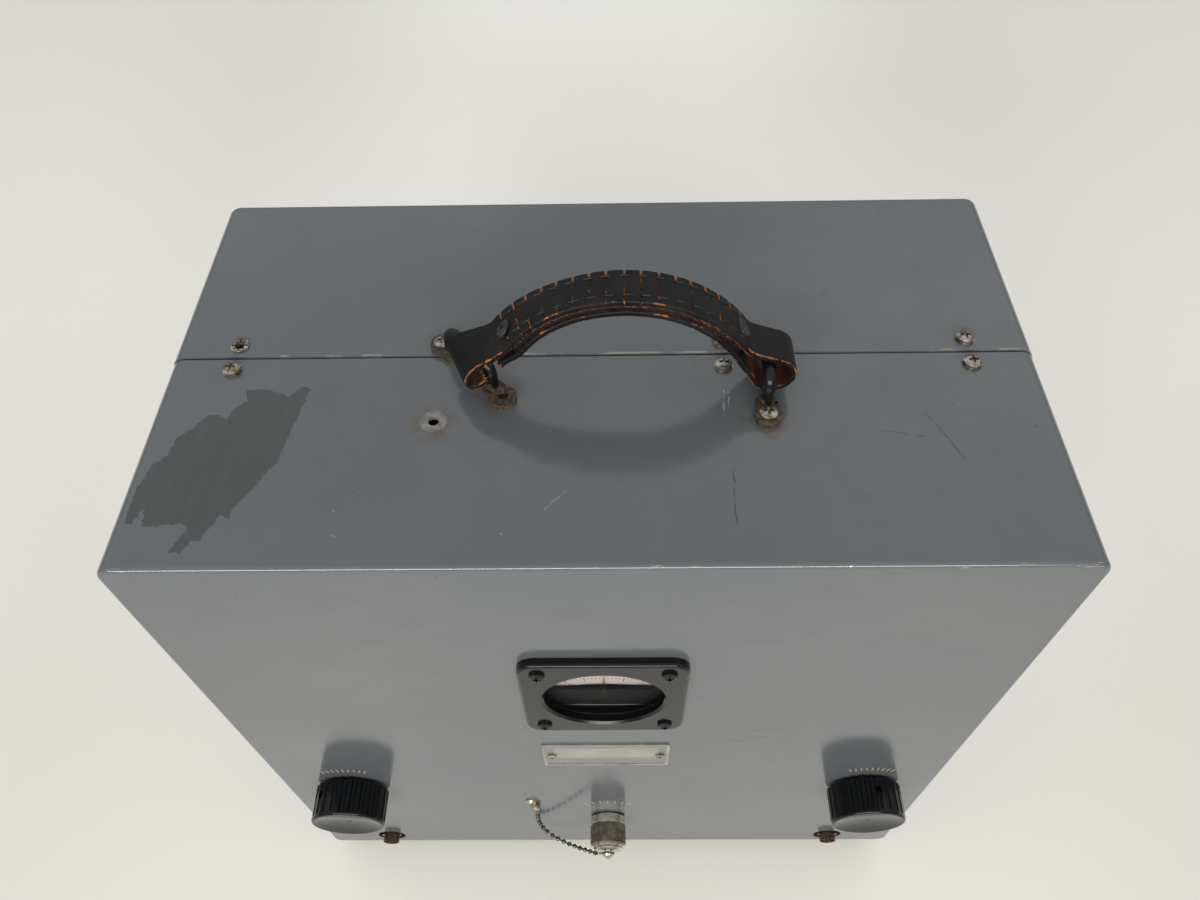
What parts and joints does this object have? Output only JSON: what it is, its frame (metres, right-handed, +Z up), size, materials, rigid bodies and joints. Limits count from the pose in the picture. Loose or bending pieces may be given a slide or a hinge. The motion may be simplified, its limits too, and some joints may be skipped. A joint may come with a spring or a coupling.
{
  "type": "radio-frequency impedance bridge",
  "caption": "Grey two-shell steel test instrument with a leather carrying handle, a dial window, two geared control knobs, two test jacks and a capped load jack.",
  "frame": {"origin": "middle of the footprint, on the surface that the feet stand on", "axes": "+Z up, the front panel faces -Y, +X to the right of someone who looks at the panel"},
  "size_m": [0.3546, 0.2209, 0.406],
  "materials": {
    "case_paint": "worn semi-gloss blue-grey enamel on sheet steel",
    "plated_steel": "zinc-plated sheet",
    "aluminium_plate": "milled plate",
    "aluminium_cast": "cast and turned",
    "screw_steel": "plain steel",
    "screw_nickel": "dull nickel plate on steel",
    "dark_nickel": "tarnished nickel plate on steel",
    "cap_nickel": "nickel plate on brass, tarnished on the grip",
    "brass": "cut brass",
    "tarnished_brass": "brown tarnish",
    "copper": "drawn copper tube",
    "shaft_steel": "ground rod",
    "bracket_iron": "blackened steel rod with rust on the feet",
    "dark_metal": "blackened",
    "foot_rubber": "matte black",
    "black_leather": "cracked black leather, tan on worn edges",
    "tan_leather": "raw tan leather",
    "black_moulding": "gloss black moulding",
    "clear_pane": "clear sheet",
    "legend_paint": "plain grey",
    "nameplate_metal": "bare border round a plain grey field",
    "dial_paint": null,
    "white_insulator": "white insulator"
  },
  "bodies": {
    "case": {"front_shell": "case_paint", "rear_shell": "case_paint", "chassis_frame": "plated_steel", "deck_plate": "aluminium_plate", "deck_posts": "aluminium_plate", "post_screws": "screw_steel", "jack_plate": "aluminium_plate", "jack_plate_spacers": "aluminium_plate", "bearing_bridge": "aluminium_plate", "dial_bushing": "brass", "shaft_bushings": "brass", "rubber_feet": "foot_rubber", "foot_screws": "screw_steel", "seam_screws": "screw_nickel", "seam_washers": "screw_nickel", "left_bracket": "bracket_iron", "right_bracket": "bracket_iron", "bracket_screws": "screw_nickel", "bracket_nut": "screw_steel", "window_bezel": "black_moulding", "bezel_screws": "dark_metal", "window_pane": "clear_pane", "legend_plate": "legend_paint", "nameplate": "nameplate_metal", "nameplate_screws": "screw_nickel", "left_idler_stud": "shaft_steel", "phase_line": "aluminium_cast", "attenuator_can": "aluminium_cast", "left_jack": "tarnished_brass", "right_jack": "tarnished_brass", "jack_insulators": "white_insulator", "load_jack": "screw_nickel", "bridge_block": "aluminium_cast", "coax_lines": "copper", "chain_lug": "brass", "bead_chain": "dark_nickel"},
    "phase_knob": {"left_knob": "black_moulding", "left_set_screw": "screw_steel", "left_shaft": "shaft_steel", "left_pinion": "brass"},
    "phase_idler": {"left_idler": "brass"},
    "phase_dial": {"phase_dial": "dial_paint", "phase_shaft": "shaft_steel", "phase_gear": "brass", "probe_arm": "aluminium_plate"},
    "magnitude_knob": {"right_knob": "black_moulding", "right_set_screw": "screw_steel", "right_shaft": "shaft_steel", "right_pinion": "brass"},
    "magnitude_idler": {"right_idler": "brass", "right_idler_shaft": "shaft_steel", "attenuator_rotor": "brass"},
    "magnitude_dial": {"magnitude_dial": "dial_paint", "magnitude_sleeve": "shaft_steel", "magnitude_gear": "brass"},
    "cap_eye": {"chain_eye": "dark_nickel"},
    "cap": {"load_cap": "cap_nickel"},
    "handle": {"handle_cover": "black_leather", "handle_core": "tan_leather", "handle_rivets": "dark_metal"}
  },
  "joints": [
    {"name": "phase_dial_turn", "type": "hinge", "parent": "case", "child": "phase_dial", "pos_m": [0, -0.0445, 0.18163], "axis": [0, -1, 0], "range_deg": [-140, 140]},
    {"name": "phase_idler_turn", "type": "hinge", "parent": "case", "child": "phase_idler", "pos_m": [-0.09604, -0.053, 0.13919], "axis": [0, -1, 0], "range_deg": [-350, 350]},
    {"name": "phase_knob_turn", "type": "hinge", "parent": "case", "child": "phase_knob", "pos_m": [-0.1372, -0.07, 0.121], "axis": [0, -1, 0], "range_deg": [-700, 700]},
    {"name": "magnitude_dial_turn", "type": "hinge", "parent": "case", "child": "magnitude_dial", "pos_m": [0, -0.073, 0.18163], "axis": [0, -1, 0], "range_deg": [-140, 140]},
    {"name": "magnitude_idler_turn", "type": "hinge", "parent": "case", "child": "magnitude_idler", "pos_m": [0.09604, -0.063, 0.13919], "axis": [0, -1, 0], "range_deg": [-350, 350]},
    {"name": "magnitude_knob_turn", "type": "hinge", "parent": "case", "child": "magnitude_knob", "pos_m": [0.1372, -0.08, 0.121], "axis": [0, -1, 0], "range_deg": [-700, 700]},
    {"name": "cap_travel", "type": "slide", "parent": "case", "child": "cap_eye", "axis": [0, -1, 0], "range_m": [0, 0.0085], "deforming": ["bead_chain"]},
    {"name": "cap_turn", "type": "hinge", "parent": "cap_eye", "child": "cap", "pos_m": [0, -0.0965, 0.0645], "axis": [0, -1, 0], "range_deg": [0, 2880]},
    {"name": "handle_lift", "type": "slide", "parent": "case", "child": "handle", "axis": [0, 0, 1], "range_m": [0, 0.003]}
  ],
  "couplings": [
    {"joint": "phase_idler_turn", "follows": "phase_dial_turn", "ratio": -2.5},
    {"joint": "phase_knob_turn", "follows": "phase_dial_turn", "ratio": 5},
    {"joint": "magnitude_idler_turn", "follows": "magnitude_dial_turn", "ratio": -2.5},
    {"joint": "magnitude_knob_turn", "follows": "magnitude_dial_turn", "ratio": 5},
    {"joint": "cap_travel", "follows": "cap_turn", "m_per_rad": 0.00016844}
  ]
}
